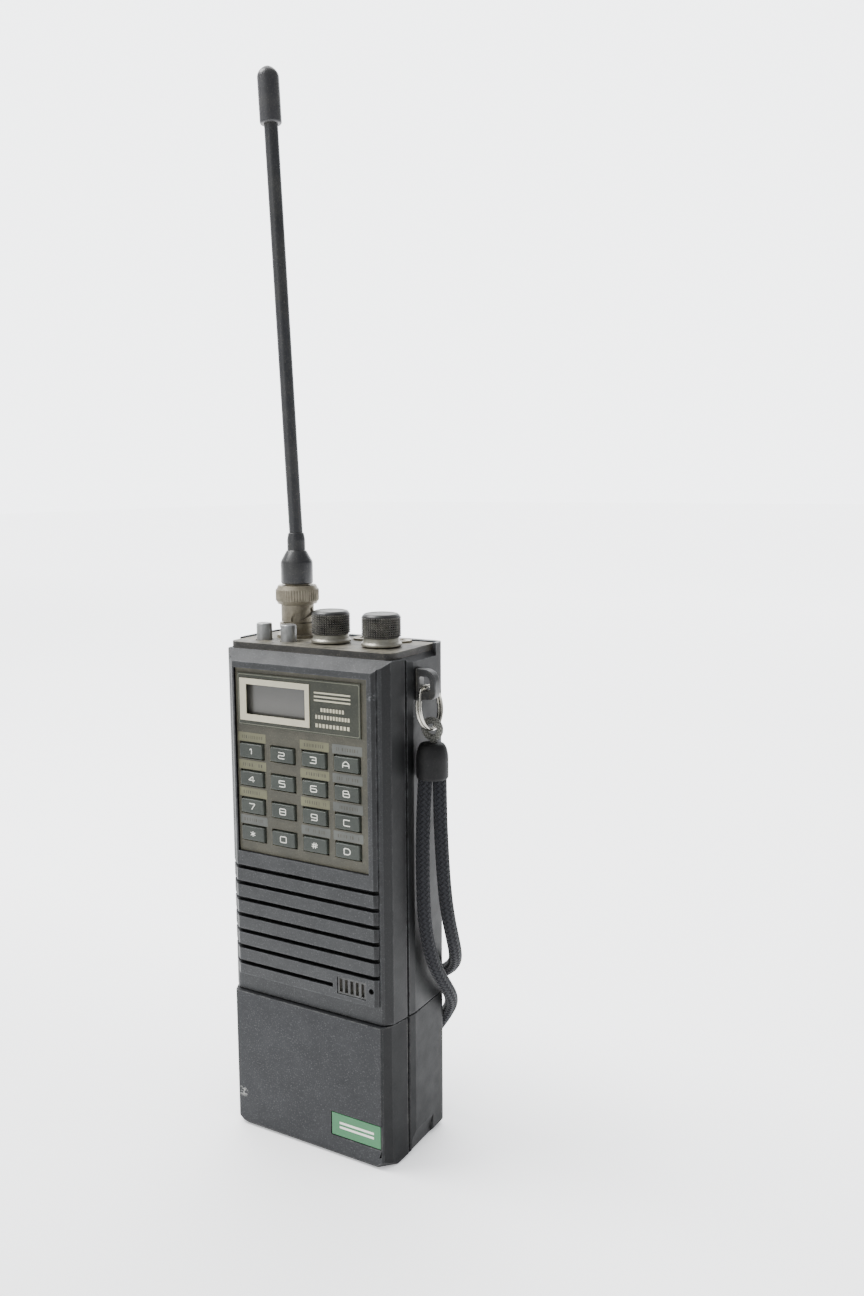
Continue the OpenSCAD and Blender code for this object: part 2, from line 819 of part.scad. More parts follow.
// Sloping lower edges of the pack: front, sides and rear, and the two front corners
module pack_base_slopes() {
    translate([0, -half_d, 1.2])
        rotate([-45, 0, 0])
            translate([-40, -5, -5])
                cube([80, 10, 5]);
    translate([0, half_d, 2.4])
        rotate([45, 0, 0])
            translate([-40, -5, -5])
                cube([80, 10, 5]);
    for (side = [-1, 1])
        translate([side * rear_half_w, 0, 2])
            rotate([0, -side * 45, 0])
                translate([-5, -30, -5])
                    cube([10, 60, 5]);
    for (side = [-1, 1])
        translate([side * 29.6, -16.4, 2.6])
            rotate([0, 0, side * 45])
                rotate([-45, 0, 0])
                    translate([-5, -5, -5])
                        cube([10, 10, 5]);
}

module pack_front_shell() {
    color(charcoal)
        difference() {
            linear_extrude(pack_h)
                pack_front_plan();
            pack_base_slopes();
            translate([0, 0, wall])
                linear_extrude(pack_h - 2 * wall)
                    intersection() {
                        cavity_plan();
                        translate([-40, -20])
                            square([80, 20]);
                    }
            // Recess of the badge
            span_box([9.1, -half_d - 1, 6.9], [28.2, -half_d + 0.6, 15.1]);
        }
}

module pack_rear_shell() {
    color(charcoal)
        difference() {
            union() {
                linear_extrude(pack_h)
                    rear_plan();
                for (y = rail_y)
                    rail_profile(y, rail_x0, rail_x1, 0);
            }
            pack_base_slopes();
            translate([0, 0, wall])
                linear_extrude(pack_h - 2 * wall)
                    intersection() {
                        cavity_plan();
                        translate([-40, seam_y1 - 1])
                            square([80, 40]);
                    }
            // Finger notches low on both sides
            for (side = [-1, 1])
                translate([side * (rear_half_w + 1.3), 1.5, 4])
                    rotate([0, side * 12, 0])
                        cube([4, 13, 10], center = true);
            // Well of the contact pads
            span_box([-8, 1, pack_h - 0.8], [8, 5, pack_h + 1]);
        }
}

// Eight upright cells
module pack_cells() {
    cell_h = pack_h - 2 * wall - 1.8;
    color([0.2, 0.35, 0.5])
        for (x = [-21.9, -7.3, 7.3, 21.9])
            for (y = [-6.6, 7.8])
                translate([x, y, wall])
                    union() {
                        cylinder(r = 7.05, h = cell_h);
                        translate([0, 0, cell_h])
                            cylinder(r = 2.6, h = 1.2);
                    }
}

module pack_badge() {
    color([0.39, 0.6, 0.46])
        span_box([9.4, -half_d + 0.1, 7.2], [27.9, -half_d + 0.6, 14.8]);
}

module pack_contacts() {
    color([0.8, 0.65, 0.35])
        for (x = [-5.7, -1.2, 3.3])
            span_box([x, 1.3, pack_h - 0.8], [x + 2.4, 4.7, pack_h]);
}

front_case();
rear_case();
top_plate();
keypad_plate();
display_lens();
display_bezel();
lcd_module();
keypad_mat();
main_board();
rf_board();
speaker();
microphone();
mic_grille();
control_pots();
button_switches();
bnc_jack();
ear_jack();
mic_jack();
rail_plate();
power_contacts();
case_screws();
strap_lug();
key(0, 0);  // key_1
key(1, 0);  // key_2
key(2, 0);  // key_3
key(3, 0);  // key_a
key(0, 1);  // key_4
key(1, 1);  // key_5
key(2, 1);  // key_6
key(3, 1);  // key_b
key(0, 2);  // key_7
key(1, 2);  // key_8
key(2, 2);  // key_9
key(3, 2);  // key_c
key(0, 3);  // key_star
key(1, 3);  // key_0
key(2, 3);  // key_hash
key(3, 3);  // key_d
knob(volume_at);  // volume_knob
skirt(volume_at);  // volume_skirt
knob(squelch_at);  // squelch_knob
skirt(squelch_at);  // squelch_skirt
top_button(light_at);  // light_button
top_button(function_at);  // function_button
ptt_button();
pack_release();
antenna_whip();
antenna_cap();
antenna_boot();
antenna_plug();
bnc_collar();
split_ring();
strap_eyelet();
strap_boot();
strap_cord();
pack_front_shell();
pack_rear_shell();
pack_cells();
pack_badge();
pack_contacts();
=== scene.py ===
"""The looks of the handheld two-way radio: materials, rounded edges, key legends, knurls, braid."""

import json
import math

import bmesh
import bpy
from mathutils import Matrix, Vector

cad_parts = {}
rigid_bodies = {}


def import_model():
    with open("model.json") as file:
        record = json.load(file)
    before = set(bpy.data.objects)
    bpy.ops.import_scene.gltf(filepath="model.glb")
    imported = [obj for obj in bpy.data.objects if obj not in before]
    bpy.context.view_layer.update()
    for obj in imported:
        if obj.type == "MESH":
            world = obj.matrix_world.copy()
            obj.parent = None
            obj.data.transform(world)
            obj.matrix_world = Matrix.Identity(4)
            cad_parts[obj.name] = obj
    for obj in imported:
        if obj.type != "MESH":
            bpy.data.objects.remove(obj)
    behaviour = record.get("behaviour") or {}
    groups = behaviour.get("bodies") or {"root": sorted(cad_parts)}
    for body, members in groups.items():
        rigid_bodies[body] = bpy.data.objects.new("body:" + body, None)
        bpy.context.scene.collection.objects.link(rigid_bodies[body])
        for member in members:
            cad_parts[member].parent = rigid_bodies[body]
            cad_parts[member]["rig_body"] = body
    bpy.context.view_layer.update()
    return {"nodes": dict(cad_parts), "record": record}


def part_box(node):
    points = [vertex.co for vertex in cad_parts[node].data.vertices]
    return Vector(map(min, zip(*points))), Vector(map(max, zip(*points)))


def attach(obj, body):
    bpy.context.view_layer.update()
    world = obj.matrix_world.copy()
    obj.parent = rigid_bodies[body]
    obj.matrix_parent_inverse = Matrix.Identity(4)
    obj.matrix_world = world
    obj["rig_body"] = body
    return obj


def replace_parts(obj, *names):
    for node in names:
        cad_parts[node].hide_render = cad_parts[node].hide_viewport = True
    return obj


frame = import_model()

MM = 0.001
scene = bpy.context.scene


# ---------------------------------------------------------------- camera
def look(position, yaw, pitch, roll):
    """Camera matrix from a position and angles in degrees; yaw turns from +Y towards -X."""
    yaw, pitch, roll = math.radians(yaw), math.radians(pitch), math.radians(roll)
    forward = Vector((-math.sin(yaw) * math.cos(pitch), math.cos(yaw) * math.cos(pitch),
                      -math.sin(pitch)))
    right = Vector((math.cos(yaw), math.sin(yaw), 0))
    up = right.cross(forward)
    turned_right = right * math.cos(roll) - up * math.sin(roll)
    turned_up = right * math.sin(roll) + up * math.cos(roll)
    m = Matrix((turned_right, turned_up, -forward)).transposed().to_4x4()
    m.translation = Vector(position)
    return m


camera_data = bpy.data.cameras.new("camera")
camera_data.sensor_width = 36
camera_data.lens = 30.96
camera_data.shift_x = 0.0074
camera_data.shift_y = -0.01
camera_data.clip_start = 0.01
camera_data.clip_end = 20
camera = bpy.data.objects.new("camera", camera_data)
scene.collection.objects.link(camera)
camera.matrix_world = look((0.20176, -0.29362, 0.21693), 29.70, 7.97, 0.36)
scene.camera = camera


# ---------------------------------------------------------------- material helper
def rgb(r, g, b):
    """Colour from 0-255 screen values."""
    out = []
    for c in (r, g, b):
        c /= 255
        out.append(c / 12.92 if c <= 0.04045 else ((c + 0.055) / 1.055) ** 2.4)
    return tuple(out) + (1.0,)


class Mat:
    """A node material with a few short ways to add nodes."""

    def __init__(self, name, roughness=0.5, metallic=0.0, coat=0.0, sheen=0.0, specular=0.5):
        self.mat = bpy.data.materials.new(name)
        self.mat.use_nodes = True
        self.tree = self.mat.node_tree
        self.tree.nodes.clear()
        out = self.tree.nodes.new("ShaderNodeOutputMaterial")
        self.bsdf = self.tree.nodes.new("ShaderNodeBsdfPrincipled")
        self.tree.links.new(self.bsdf.outputs[0], out.inputs[0])
        self.bsdf.inputs["Roughness"].default_value = roughness
        self.bsdf.inputs["Metallic"].default_value = metallic
        self.bsdf.inputs["Coat Weight"].default_value = coat
        self.bsdf.inputs["Sheen Weight"].default_value = sheen
        self.bsdf.inputs["Specular IOR Level"].default_value = specular
        self.place = self.add("TexCoord").outputs["Object"]

    def add(self, kind, props=None, **values):
        node = self.tree.nodes.new("ShaderNode" + kind)
        for key, value in (props or {}).items():
            setattr(node, key, value)
        for key, value in values.items():
            self.put(node.inputs[key.replace("_", " ")], value)
        return node

    def put(self, socket, value):
        if isinstance(value, bpy.types.NodeSocket):
            self.tree.links.new(value, socket)
        else:
            socket.default_value = value

    def math(self, op, a, b=0.0):
        node = self.add("Math", {"operation": op})
        self.put(node.inputs[0], a)
        self.put(node.inputs[1], b)
        return node.outputs[0]

    def mix(self, factor, a, b):
        node = self.add("Mix", {"data_type": "RGBA"})
        self.put(node.inputs[0], factor)
        self.put(node.inputs[6], a)
        self.put(node.inputs[7], b)
        return node.outputs[2]

    def span(self, x, lo, hi, out_lo=0.0, out_hi=1.0):
        node = self.add("MapRange", {"clamp": True})
        for i, value in enumerate((x, lo, hi, out_lo, out_hi)):
            self.put(node.inputs[i], value)
        return node.outputs[0]

    def noise(self, scale, detail=3.0, rough=0.55, stretch=None, seed=0.0):
        place = self.place
        if stretch or seed:
            place = self.add("Mapping", Vector=place, Scale=stretch or (1, 1, 1),
                             Location=(seed, seed * 0.7, -seed)).outputs[0]
        return self.add("TexNoise", Vector=place, Scale=scale, Detail=detail,
                        Roughness=rough).outputs[0]

    def cells(self, scale):
        return self.add("TexVoronoi", Vector=self.place, Scale=scale).outputs["Distance"]

    def edges(self, radius, lo=0.004, hi=0.06):
        """1 near convex and concave edges."""
        soft = self.add("Bevel", {"samples": 6}, Radius=radius).outputs[0]
        flat = self.add("NewGeometry").outputs["Normal"]
        dot = self.add("VectorMath", {"operation": "DOT_PRODUCT"})
        self.put(dot.inputs[0], soft)
        self.put(dot.inputs[1], flat)
        return self.span(self.math("SUBTRACT", 1.0, dot.outputs["Value"]), lo, hi)

    def hollows(self, distance):
        """1 deep in corners, 0 in the open."""
        ao = self.add("AmbientOcclusion", {"samples": 6}, Distance=distance)
        return self.math("SUBTRACT", 1.0, ao.outputs["AO"])

    def bump(self, height, distance, strength=1.0, below=None):
        node = self.add("Bump", Height=height, Distance=distance, Strength=strength)
        if below is not None:
            self.put(node.inputs["Normal"], below)
        return node.outputs[0]

    def finish(self, colour=None, roughness=None, normal=None):
        if colour is not None:
            self.put(self.bsdf.inputs["Base Color"], colour)
        if roughness is not None:
            self.put(self.bsdf.inputs["Roughness"], roughness)
        if normal is not None:
            self.put(self.bsdf.inputs["Normal"], normal)
        return self.mat


GRAIN_SCALE = 2600


def moulded(name, base, dust=(150, 146, 130), dusty=0.5, wear=(120, 122, 124), worn=0.5,
            rough=0.5, grain_depth=0.00003, specks=0.3, blotch=0.12, edge=0.0007, specular=0.5,
            hollow=None, lying=0.0, scuffs=(), side=None):
    """Moulded plastic or rubber with grain, blotches, specks, dust in hollows, rubbed edges.

    hollow is a dark colour for the corners, in place of dust: painted shade in the hollows.
    side is a colour painted on the faces that point towards +X: painted shade on that side.
    lying is how much dust lies on upward faces. scuffs are rubbed spots, each its centre and
    its reach in millimetres.
    """
    m = Mat(name, roughness=rough, specular=specular)
    large = m.noise(55, 4)
    fine = m.noise(2300, 3, seed=3.1)
    dark = rgb(*[c * (1 - blotch) for c in base])
    light = rgb(*[min(255, c * (1 + blotch)) for c in base])
    colour = m.mix(m.span(large, 0.35, 0.65), dark, light)
    colour = m.mix(m.math("MULTIPLY", m.span(fine, 0.56, 0.72), specks), colour, rgb(*dust))
    film = m.span(m.noise(140, 5, 0.65, seed=1.7), 0.42, 0.75)
    colour = m.mix(m.math("MULTIPLY", film, 0.22 * dusty), colour, rgb(*dust))
    # Painted shade: faces that point towards +X are tinted towards the side colour, darker on that
    # side.
    if side:
        facing = m.add("SeparateXYZ", Vector=m.add("NewGeometry").outputs["Normal"]).outputs["X"]
        colour = m.mix(m.span(facing, 0.3, 0.8, 0.0, 0.9), colour, rgb(*side))
    # Hollows: painted shade in the dark corner colour when one is given, otherwise dust.
    if hollow:
        colour = m.mix(m.math("MULTIPLY", m.span(m.hollows(0.005), 0.25, 0.7), 0.8), colour,
                       rgb(*hollow))
    else:
        corner = m.math("MULTIPLY", m.span(m.hollows(0.004), 0.25, 0.85),
                        m.span(m.noise(420, 4, 0.7, seed=5.3), 0.3, 0.62))
        colour = m.mix(m.math("MULTIPLY", corner, dusty), colour, rgb(*dust))
    if lying:
        up = m.add("SeparateXYZ", Vector=m.add("NewGeometry").outputs["Normal"]).outputs["Z"]
        layer = m.math("MULTIPLY", m.span(up, 0.7, 0.98),
                       m.span(m.noise(330, 5, 0.7, seed=6.6), 0.32, 0.6))
        colour = m.mix(m.math("MULTIPLY", layer, lying), colour, rgb(*dust))
    for x, y, z, reach in scuffs:
        far = m.add("VectorMath", {"operation": "DISTANCE"})
        m.put(far.inputs[0], m.place)
        far.inputs[1].default_value = (x * MM, y * MM, z * MM)
        near = m.span(far.outputs["Value"], reach * MM, reach * 0.4 * MM)
        mark = m.math("MULTIPLY", near, m.span(m.noise(900, 3, 0.7, seed=x), 0.5, 0.56))
        colour = m.mix(m.math("MULTIPLY", mark, 0.8), colour, rgb(*wear))
    rub = m.math("MULTIPLY", m.edges(edge), m.span(m.noise(260, 5, 0.7, seed=8.9), 0.38, 0.7))
    colour = m.mix(m.math("MULTIPLY", rub, worn), colour, rgb(*wear))
    roughness = m.span(m.noise(180, 4, seed=2.2), 0.3, 0.7, rough - 0.05, rough + 0.05)
    pits = m.math("ADD", m.noise(GRAIN_SCALE, 2, 0.6),
                  m.math("MULTIPLY", m.cells(GRAIN_SCALE * 0.5), 0.6))
    scratch = m.noise(700, 2, 0.6, stretch=(0.25, 1, 1.6), seed=4.4)
    normal = m.bump(pits, grain_depth, 0.6)
    normal = m.bump(scratch, 0.00002, 0.25, below=normal)
    return m.finish(colour, roughness, normal)


def metal(name, base, rough=0.35, metallic=1.0, tarnish=(110, 104, 88), amount=0.5,
          scale=300, grain=(1, 1, 12), dust=(160, 152, 132), dusty=0.4):
    """Worn metal: tarnish patches, dust in hollows, fine drawn lines."""
    m = Mat(name, roughness=rough, metallic=metallic)
    patch = m.span(m.noise(scale, 5, 0.65), 0.4, 0.68)
    colour = m.mix(m.math("MULTIPLY", patch, amount), rgb(*base), rgb(*tarnish))
    corner = m.math("MULTIPLY", m.span(m.hollows(0.0025), 0.25, 0.8),
                    m.span(m.noise(500, 4, 0.7, seed=5.3), 0.3, 0.6))
    colour = m.mix(m.math("MULTIPLY", corner, dusty), colour, rgb(*dust))
    roughness = m.span(patch, 0, 1, rough - 0.06, min(0.95, rough + 0.2))
    lines = m.noise(2500, 2, 0.6, stretch=grain)
    return m.finish(colour, roughness, m.bump(lines, 0.00001, 0.5))


# Case and pack carry painted shade: near-black in their hollows and a dark tint on faces towards
# +X.
case_mat = moulded("case_plastic", (48, 49, 50), dust=(118, 119, 120), wear=(104, 106, 108),
                   worn=0.5, dusty=0.25, rough=0.48, specks=0.3, blotch=0.04, specular=0.24,
                   hollow=(12, 12, 12), side=(12, 13, 14), scuffs=[(26.2, -17, 152.4, 1.6)])
pack_mat = moulded("pack_plastic", (45, 46, 48), dust=(118, 119, 120), wear=(150, 150, 146),
                   worn=0.35, dusty=0.2, rough=0.54, specks=0.3, blotch=0.04, specular=0.18,
                   hollow=(14, 14, 14), side=(14, 15, 16), scuffs=[(-26.6, -17.4, 11.8, 2.3)])
dark_mat = moulded("dark_plastic", (30, 31, 32), dusty=0.35, worn=0.35, rough=0.42, specks=0.15)
inner_mat = moulded("inner_plastic", (24, 24, 25), dusty=0.2, worn=0.1, rough=0.6)
top_mat = moulded("top_plate_dusty", (40, 39, 37), dust=(128, 123, 108), dusty=0.5, worn=0.5,
                  wear=(96, 93, 86), rough=0.6, specks=0.3, blotch=0.2, specular=0.35,
                  lying=0.75)
frame_mat = moulded("keypad_frame_brown", (64, 63, 54), dust=(128, 122, 102), dusty=0.6,
                    worn=0.4, wear=(112, 106, 90), rough=0.55, specks=0.25, blotch=0.08,
                    specular=0.35)
lens_mat = moulded("panel_olive", (34, 37, 27), dust=(110, 108, 88), dusty=0.5, worn=0.2,
                   wear=(100, 102, 84), rough=0.36, grain_depth=0.00001, specks=0.15,
                   blotch=0.07, specular=0.4)
bezel_mat = moulded("frame_cream", (186, 181, 158), dust=(120, 112, 90), dusty=0.6, worn=0.2,
                    wear=(220, 216, 200), rough=0.45, grain_depth=0.00001, blotch=0.06)
key_mat = moulded("key_cap", (43, 48, 43), dust=(120, 122, 110), dusty=0.3, worn=0.5,
                  wear=(96, 104, 98), rough=0.45, grain_depth=0.00001, specks=0.12, edge=0.0005,
                  specular=0.35)
legend_mat = moulded("legend_white", (214, 214, 204), dust=(150, 146, 130), dusty=0.1,
                     worn=0.0, rough=0.5, grain_depth=0.000005, specks=0.1, blotch=0.04)
strip_mat = moulded("strip_olive", (103, 102, 80), dust=(80, 78, 62), dusty=0.3, worn=0.2,
                    rough=0.5, grain_depth=0.00001, specks=0.3, blotch=0.1, specular=0.3)
strip_grey_mat = moulded("strip_grey", (88, 90, 86), dust=(74, 74, 66), dusty=0.3, worn=0.2,
                         rough=0.5, grain_depth=0.00001, specks=0.3, blotch=0.1, specular=0.3)
print_mat = moulded("printed_beige", (176, 172, 150), dust=(120, 116, 92), dusty=0.1, worn=0.0,
                    rough=0.5, grain_depth=0.000005, specks=0.3, blotch=0.06)
outline_mat = moulded("outline_olive", (104, 106, 90), dusty=0.1, worn=0.0, rough=0.5,
                      grain_depth=0.000005, specks=0.1)
badge_mat = moulded("badge_green", (46, 108, 68), dust=(110, 124, 104), dusty=0.2, worn=0.3,
                    wear=(96, 140, 110), rough=0.42, grain_depth=0.00001, specks=0.15,
                    blotch=0.05)
antenna_mat = moulded("antenna_rubber", (33, 34, 37), dusty=0.25, worn=0.1, rough=0.33,
                      grain_depth=0.00001, specks=0.12, blotch=0.08, specular=0.5)
cap_mat = moulded("antenna_cap_rubber", (42, 42, 45), dusty=0.25, worn=0.2, rough=0.4,
                  grain_depth=0.00002, specks=0.12, specular=0.5)
boot_mat = moulded("boot_rubber", (17, 17, 18), dust=(70, 68, 62), dusty=0.3, worn=0.25,
                   wear=(54, 54, 54), rough=0.6, specks=0.12, specular=0.25)
knob_mat = moulded("knob_black", (19, 19, 19), dust=(100, 97, 88), dusty=0.4, worn=0.9,
                   wear=(150, 147, 138), rough=0.4, specks=0.12, edge=0.00022,
                   grain_depth=0.00001, specular=0.5)
# Knurl tips are a light grey: partly wear and dust, partly painted highlight.
knurl_mat = moulded("knurl_tips", (104, 101, 93), dust=(160, 156, 144), dusty=0.3, worn=0.0,
                    rough=0.4, specks=0.3, blotch=0.25, grain_depth=0.000004)
# Knob top faces are grey, lighter than the black knob: partly dust, partly painted reflection.
knob_top_dust_and_reflection_mat = moulded("knob_top_dust_and_reflection", (70, 70, 66), dust=(118, 115, 106), dusty=0.6,
                       worn=0.5, wear=(170, 168, 160), rough=0.5, specks=0.4, blotch=0.14)
nickel_mat = metal("nickel_dull", (136, 129, 113), rough=0.45, metallic=0.55,
                   tarnish=(96, 90, 76), amount=0.5, dusty=0.6)
silver_mat = metal("skirt_silver", (150, 148, 138), rough=0.38, metallic=0.7, amount=0.45,
                   dusty=0.7)
alu_mat = metal("button_aluminium", (150, 151, 150), rough=0.42, metallic=0.7, amount=0.4,
                tarnish=(98, 96, 90), grain=(12, 12, 1))
ring_mat = metal("ring_plate", (190, 188, 180), rough=0.2, metallic=1.0, amount=0.35,
                 grain=(1, 1, 1), dusty=0.2)
brass_mat = metal("contact_brass", (200, 168, 96), rough=0.3, grain=(1, 1, 1))
screw_mat = metal("screw_black", (70, 70, 72), rough=0.4, metallic=0.9, grain=(1, 1, 1))
board_mat = moulded("board_green", (26, 78, 48), dusty=0.1, worn=0.1, rough=0.35, specks=0.1)
cell_mat = moulded("cell_wrap", (50, 88, 126), dusty=0.1, worn=0.1, rough=0.3, specks=0.05)


def lcd_material():
    """Grey display cover: a faint vertical gradient, dust and a clear coat."""
    m = Mat("lcd_grey", roughness=0.3, coat=0.6)
    height = m.add("SeparateXYZ", Vector=m.place).outputs["Z"]
    shade = m.span(height, 0.1430, 0.1526, 0.0, 1.0)
    colour = m.mix(shade, rgb(86, 85, 80), rgb(66, 65, 62))
    smear = m.span(m.noise(420, 4, 0.6), 0.3, 0.8)
    colour = m.mix(m.math("MULTIPLY", smear, 0.03), colour, rgb(120, 117, 109))
    m.bsdf.inputs["Coat Roughness"].default_value = 0.12
    return m.finish(colour, m.span(smear, 0, 1, 0.3, 0.36))


def braid_material(name, low, high, fuzz_colour):
    """Round braid: two families of strands crossing over and under, from the tube's UVs."""
    m = Mat(name, roughness=0.78, sheen=0.12, specular=0.2)
    m.bsdf.inputs["Sheen Roughness"].default_value = 0.4
    uv = m.add("SeparateXYZ", Vector=m.add("UVMap", {"uv_map": "braid"}).outputs[0])
    around, along = uv.outputs["X"], uv.outputs["Y"]
    one = m.math("ADD", around, along)
    two = m.math("SUBTRACT", around, along)
    ridge_a = m.math("ABSOLUTE", m.math("SINE", m.math("MULTIPLY", one, math.pi)))
    ridge_b = m.math("ABSOLUTE", m.math("SINE", m.math("MULTIPLY", two, math.pi)))
    over = m.math("SINE", m.math("MULTIPLY", m.math("FLOOR", one), math.pi / 2))
    over = m.math("MULTIPLY", over, over)
    floor_two = m.math("SINE", m.math("MULTIPLY", m.math("FLOOR", two), math.pi / 2))
    floor_two = m.math("MULTIPLY", floor_two, floor_two)
    pick = m.math("ABSOLUTE", m.math("SUBTRACT", over, floor_two))
    height = m.math("ADD", m.math("MULTIPLY", ridge_a, pick),
                    m.math("MULTIPLY", ridge_b, m.math("SUBTRACT", 1.0, pick)))
    fuzz = m.noise(4200, 2, 0.6)
    colour = m.mix(m.span(height, 0.1, 0.9), rgb(*low), rgb(*high))
    colour = m.mix(m.span(fuzz, 0.5, 0.8, 0, 0.3), colour, rgb(*fuzz_colour))
    normal = m.bump(height, 0.00022, 0.9)
    normal = m.bump(fuzz, 0.00003, 0.5, below=normal)
    return m.finish(colour, None, normal)


lcd_mat = lcd_material()
braid_mat = braid_material("cord_braid", (6, 6, 8), (33, 34, 38), (50, 51, 54))
eyelet_mat = braid_material("eyelet_braid", (50, 50, 48), (120, 120, 114), (150, 148, 140))


# ---------------------------------------------------------------- shape helpers
def make(name, verts, faces, mat, body, slot, sharp=35, uvs=None):
    """Mesh object from millimetre points, riding on a body."""
    mesh = bpy.data.meshes.new(name)
    mesh.from_pydata([Vector(v) * MM for v in verts], [], faces)
    mesh.validate()
    if uvs:
        layer = mesh.uv_layers.new(name="braid")
        for loop, uv in zip(layer.data, uvs):
            loop.uv = uv
    return place(name, mesh, mat, body, slot, sharp)


def place(name, mesh, mat, body, slot, sharp):
    """Puts a mesh in the scene with its material and body; slot is not used."""
    mesh.materials.clear()
    mesh.materials.append(mat)
    for polygon in mesh.polygons:
        polygon.use_smooth = True
        polygon.material_index = 0
    mesh.set_sharp_from_angle(angle=math.radians(sharp))
    obj = bpy.data.objects.new(name, mesh)
    scene.collection.objects.link(obj)
    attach(obj, body)
    return obj


def body_of_node(node):
    """The name of the body that a CAD node rides on."""
    return frame["nodes"][node]["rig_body"]


def slot_of_node(node):
    """The material slot that the record gives a CAD node."""
    for entry in frame["record"]["subparts"]:
        if entry["node"] == node:
            return entry["material_slot"]


WELD_DISTANCE = 0.002 * MM
COPLANAR_ANGLE = 0.6
BEVEL_ANGLE = 28
CREASE_ANGLE = 24
LARGE_FACE = 12 * MM * MM


def rounded(node, mat, width, segments=2, merge=True):
    """A copy of a CAD node with rounded edges, which stands for it."""
    mesh = frame["nodes"][node].data.copy()
    mesh.name = node + "_round"
    bm = bmesh.new()
    bm.from_mesh(mesh)
    bmesh.ops.remove_doubles(bm, verts=bm.verts, dist=WELD_DISTANCE)
    if merge:
        bmesh.ops.dissolve_limit(bm, angle_limit=math.radians(COPLANAR_ANGLE),
                                 verts=bm.verts, edges=bm.edges)
    bm.to_mesh(mesh)
    bm.free()
    mesh.normals_split_custom_set_from_vertices([(0, 0, 0)] * len(mesh.vertices))
    obj = place(node + "_round", mesh, mat, body_of_node(node), slot_of_node(node), 180)
    bevel = obj.modifiers.new("bevel", "BEVEL")
    bevel.width = width * MM
    bevel.segments = segments
    bevel.limit_method = "ANGLE"
    bevel.angle_limit = math.radians(BEVEL_ANGLE)
    bevel.use_clamp_overlap = True
    bevel.harden_normals = False
    bpy.context.view_layer.update()
    graph = bpy.context.evaluated_depsgraph_get()
    baked = bpy.data.meshes.new_from_object(obj.evaluated_get(graph))
    obj.modifiers.clear()
    obj.data = baked
    for polygon in baked.polygons:
        polygon.use_smooth = True
    baked.set_sharp_from_angle(angle=math.radians(CREASE_ANGLE))
    for polygon in baked.polygons:
        if polygon.area > LARGE_FACE:
            polygon.use_smooth = False
    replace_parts(obj, node)


def fillet(points, radius, steps=3):
    """An open outline with its inner corners rounded."""
    out = [points[0]]
    for i in range(1, len(points) - 1):
        p, a, b = Vector(points[i]), Vector(points[i - 1]), Vector(points[i + 1])
        reach = min(radius, (a - p).length * 0.45, (b - p).length * 0.45)
        start, end = p + (a - p).normalized() * reach, p + (b - p).normalized() * reach
        for k in range(steps + 1):
            t = k / steps
            out.append(tuple(start * (1 - t) ** 2 + p * 2 * t * (1 - t) + end * t ** 2))
    out.append(points[-1])
    return out


def lathe(name, profile, at, mat, body, slot, sides=72, ripple=None, sharp=35, tilt=None):
    """A turned piece: a profile of (radius, height) round a vertical axis at (x, y) or (x, y, z).

    ripple gives a change of radius by angle, and tilt leans the piece about Y, in degrees.
    """
    verts, faces = [], []
    for r, z in profile:
        for k in range(sides):
            a = 2 * math.pi * k / sides
            reach = r + (ripple(a) if ripple else 0)
            verts.append((reach * math.cos(a), reach * math.sin(a), z))
    for low in range(0, sides * (len(profile) - 1), sides):
        high = low + sides
        for k in range(sides):
            j = (k + 1) % sides
            faces.append((low + k, low + j, high + j, high + k))
    if tilt:
        turn = Matrix.Rotation(math.radians(tilt), 3, "Y")
        verts = [turn @ Vector(v) for v in verts]
    verts = [(v[0] + at[0], v[1] + at[1], v[2] + (at[2] if len(at) > 2 else 0)) for v in verts]
    return make(name, verts, faces, mat, body, slot, sharp)


CELL = ((0, 0), (1, 0), (1, 1), (0, 1))
TIP_INSET = 0.34


def knurl(name, at, radius, z0, z1, columns, rows, depth, sides_mat, tips_mat, body, slot):
    """A band of small cut-off pyramids round a vertical axis, with light tips: wear and painted
    highlight.
    """
    def point(u, v, r):
        a = 2 * math.pi * u / columns
        return (at[0] + r * math.cos(a), at[1] + r * math.sin(a), z0 + (z1 - z0) * v / rows)

    def inset(corner):
        return 1 - TIP_INSET if corner else TIP_INSET

    verts, faces, tip_verts, tip_faces = [], [], [], []
    for j in range(rows):
        for i in range(columns):
            n, t = len(verts), len(tip_verts)
            verts += [point(i + u, j + v, radius - depth) for u, v in CELL]
            tip = [point(i + inset(u), j + inset(v), radius) for u, v in CELL]
            verts += tip
            tip_verts += tip
            faces += [(n + k, n + (k + 1) % 4, n + 4 + (k + 1) % 4, n + 4 + k) for k in range(4)]
            tip_faces.append((t, t + 1, t + 2, t + 3))
    make(name + "_knurl", verts, faces, sides_mat, body, slot, 5)
    make(name + "_knurl_tips", tip_verts, tip_faces, tips_mat, body, slot, 5)


def smooth_path(points, steps):
    """Points on a smooth curve through the given points."""
    p = [Vector(q) for q in points]
    p = [p[0] * 2 - p[1]] + p + [p[-1] * 2 - p[-2]]
    out = []
    for i in range(1, len(p) - 2):
        a, b, c, d = p[i - 1], p[i], p[i + 1], p[i + 2]
        for k in range(steps):
            t = k / steps
            out.append(0.5 * (2 * b + (c - a) * t + (2 * a - 5 * b + 4 * c - d) * t * t
                              + (3 * b - a - 3 * c + d) * t ** 3))
    out.append(p[-2])
    return out


